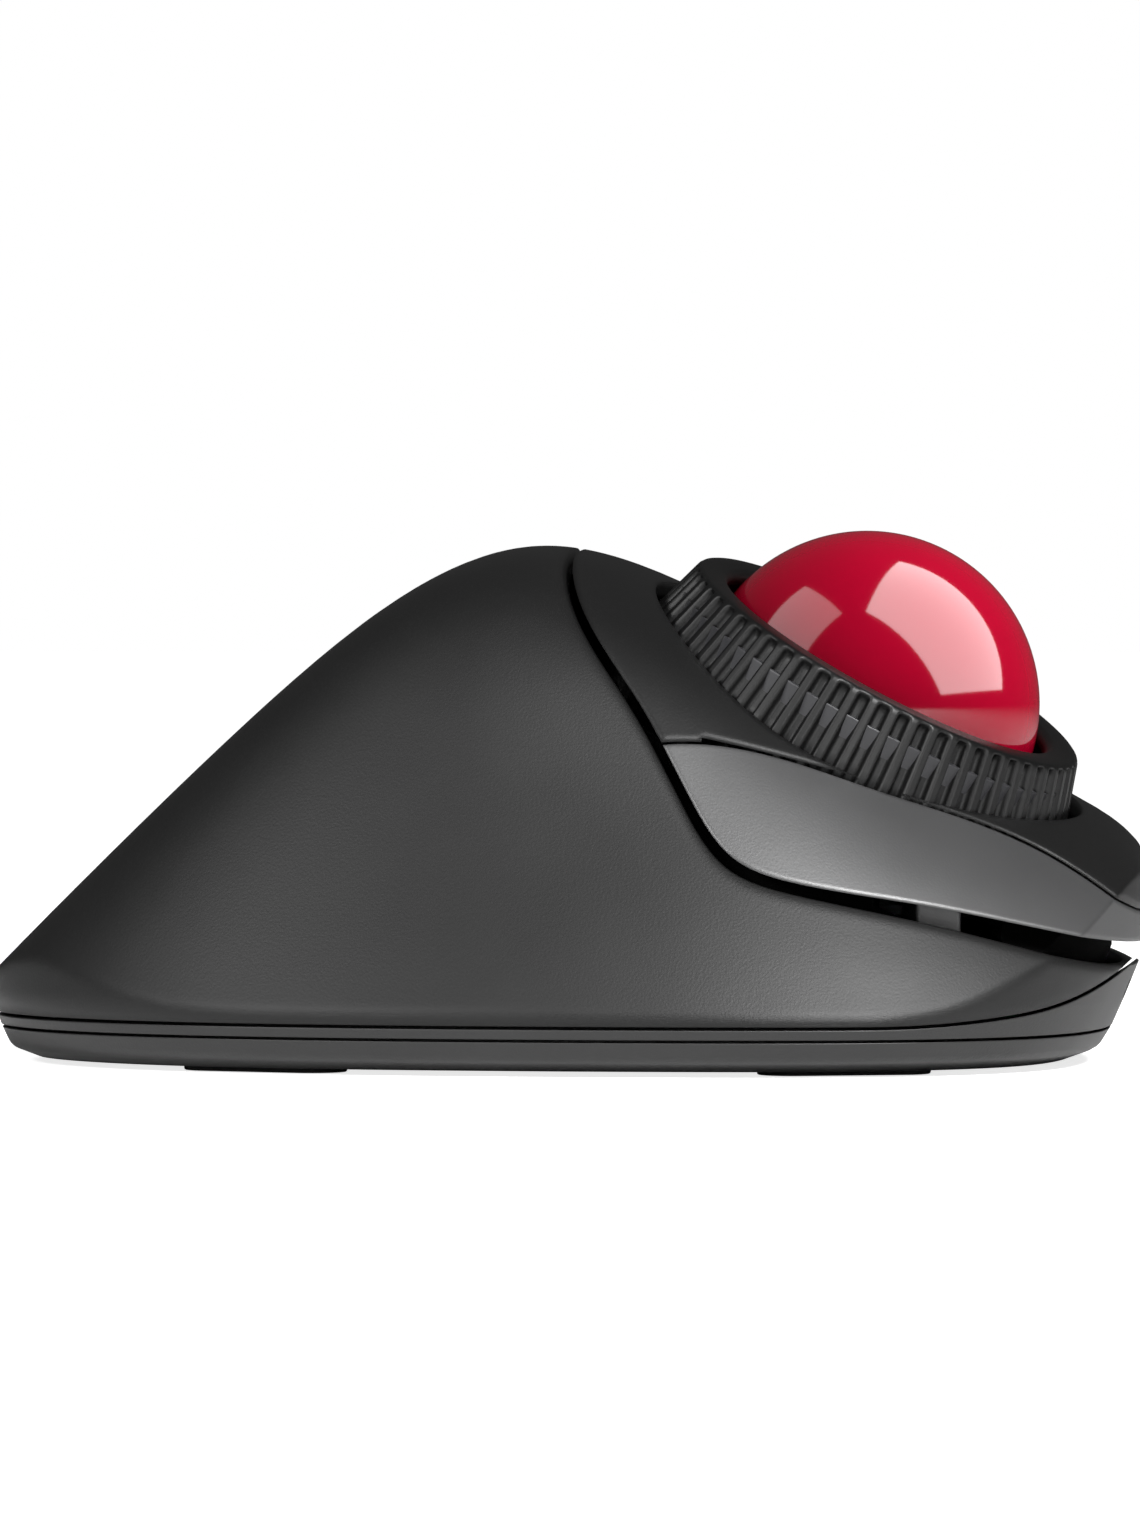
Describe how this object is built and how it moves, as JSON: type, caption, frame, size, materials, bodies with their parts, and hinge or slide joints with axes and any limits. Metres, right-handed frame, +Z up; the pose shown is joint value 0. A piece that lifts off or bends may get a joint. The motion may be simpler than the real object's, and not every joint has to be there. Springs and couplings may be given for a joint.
{
  "type": "trackball mouse",
  "caption": "Finger-operated trackball with a sloping palm rest, a ribbed scroll ring around a glossy red ball and click panels beside it.",
  "frame": {"origin": "on the desk plane, under the middle of the case", "axes": "+Y forward from the palm rest towards the ball, +X to the user's right, +Z up"},
  "size_m": [0.0997, 0.1336, 0.0614],
  "materials": {
    "soft_touch_black": "soft-touch matte",
    "panel_grey": "fine satin",
    "dark_plastic": "fine texture",
    "ring_black": "satin",
    "ball_red": "polished",
    "ceramic": "polished",
    "lens_smoke": "polished",
    "lens_clear": "clear",
    "rubber_black": "matte",
    "ptfe_white": "smooth",
    "encoder_film": "smooth",
    "chip_black": "moulded",
    "plunger_red": "moulded",
    "dome_steel": "bright",
    "board_green": "solder mask",
    "ribbon_white": "smooth",
    "screw_steel": "blackened",
    "shield_steel": "bright",
    "led_white": "clear",
    "cell_wrap": "printed wrap",
    "receiver_black": "satin"
  },
  "bodies": {
    "case": {"base_tray": "dark_plastic", "rubber_feet": "rubber_black", "mid_band": "dark_plastic", "status_lens": "lens_smoke", "palm_shell": "soft_touch_black", "seam_lip": "dark_plastic", "top_deck": "panel_grey", "ball_socket": "dark_plastic", "support_balls": "ceramic", "glide_ring": "ptfe_white", "ring_sensor": "chip_black", "deck_screws": "screw_steel", "sensor_lens": "lens_clear", "optical_sensor": "chip_black", "sensor_board": "board_green", "sensor_ribbon": "ribbon_white", "main_board": "board_green", "board_screws": "screw_steel", "radio_module": "shield_steel", "right_switch": "chip_black", "left_switch": "chip_black", "status_led": "led_white", "power_switch": "chip_black", "side_board": "board_green", "side_cable": "ribbon_white", "battery": "cell_wrap", "battery_plate": "dome_steel", "battery_spring": "dome_steel", "usb_receiver": "receiver_black", "case_screws": "screw_steel", "dpi_switch": "chip_black", "back_switch": "chip_black", "forward_switch": "chip_black"},
    "ball": {"ball": "ball_red"},
    "ring": {"scroll_ring": "ring_black", "encoder_ring": "encoder_film"},
    "right_panel": {"right_button": "panel_grey"},
    "left_panel": {"left_button": "panel_grey"},
    "right_press": {"right_plunger": "plunger_red"},
    "left_press": {"left_plunger": "plunger_red"},
    "dpi_cap": {"dpi_button": "dark_plastic"},
    "back_cap": {"back_button": "dark_plastic"},
    "forward_cap": {"forward_button": "dark_plastic"},
    "dpi_press": {"dpi_plunger": "dome_steel"},
    "back_press": {"back_plunger": "dome_steel"},
    "forward_press": {"forward_plunger": "dome_steel"},
    "door": {"battery_door": "dark_plastic"},
    "slider": {"power_slider": "dark_plastic"}
  },
  "joints": [
    {"name": "ball_roll", "type": "hinge", "parent": "case", "child": "ball", "pos_m": [0, 0.0345, 0.0414], "axis": [1, 0, 0], "continuous": true},
    {"name": "ring_turn", "type": "hinge", "parent": "case", "child": "ring", "pos_m": [0, 0.0345, 0.0414], "axis": [0.1392, 0.4725, 0.8703], "continuous": true},
    {"name": "right_click", "type": "hinge", "parent": "case", "child": "right_panel", "pos_m": [0, 0.015, 0.0373], "axis": [1, 0, 0], "range_deg": [-1.2, 0], "stiffness_Nm_per_rad": 0.2},
    {"name": "left_click", "type": "hinge", "parent": "case", "child": "left_panel", "pos_m": [0, 0.015, 0.0373], "axis": [1, 0, 0], "range_deg": [-1.2, 0], "stiffness_Nm_per_rad": 0.2},
    {"name": "right_switch_press", "type": "slide", "parent": "case", "child": "right_press", "axis": [0, 0, -1], "range_m": [0, 0.0007]},
    {"name": "left_switch_press", "type": "slide", "parent": "case", "child": "left_press", "axis": [0, 0, -1], "range_m": [0, 0.0007]},
    {"name": "dpi_click", "type": "slide", "parent": "case", "child": "dpi_cap", "axis": [0.843, -0.1023, -0.5281], "range_m": [0, 0.0003], "stiffness_N_per_m": 20},
    {"name": "dpi_switch_press", "type": "slide", "parent": "case", "child": "dpi_press", "axis": [0.843, -0.1023, -0.5281], "range_m": [0, 0.0003]},
    {"name": "back_click", "type": "slide", "parent": "case", "child": "back_cap", "axis": [0.843, -0.1023, -0.5281], "range_m": [0, 0.0003], "stiffness_N_per_m": 20},
    {"name": "back_switch_press", "type": "slide", "parent": "case", "child": "back_press", "axis": [0.843, -0.1023, -0.5281], "range_m": [0, 0.0003]},
    {"name": "forward_click", "type": "slide", "parent": "case", "child": "forward_cap", "axis": [0.843, -0.1023, -0.5281], "range_m": [0, 0.0003], "stiffness_N_per_m": 20},
    {"name": "forward_switch_press", "type": "slide", "parent": "case", "child": "forward_press", "axis": [0.843, -0.1023, -0.5281], "range_m": [0, 0.0003]},
    {"name": "door_open", "type": "hinge", "parent": "case", "child": "door", "pos_m": [0.003, -0.0516, 0.0016], "axis": [1, 0, 0], "range_deg": [-75, 0]},
    {"name": "power_slide", "type": "slide", "parent": "case", "child": "slider", "axis": [1, 0, 0], "range_m": [0, 0.0025]}
  ],
  "couplings": [
    {"joint": "right_switch_press", "follows": "right_click", "m_per_rad": -0.0295},
    {"joint": "left_switch_press", "follows": "left_click", "m_per_rad": -0.0295},
    {"joint": "dpi_switch_press", "follows": "dpi_click", "ratio": 1},
    {"joint": "back_switch_press", "follows": "back_click", "ratio": 1},
    {"joint": "forward_switch_press", "follows": "forward_click", "ratio": 1}
  ]
}
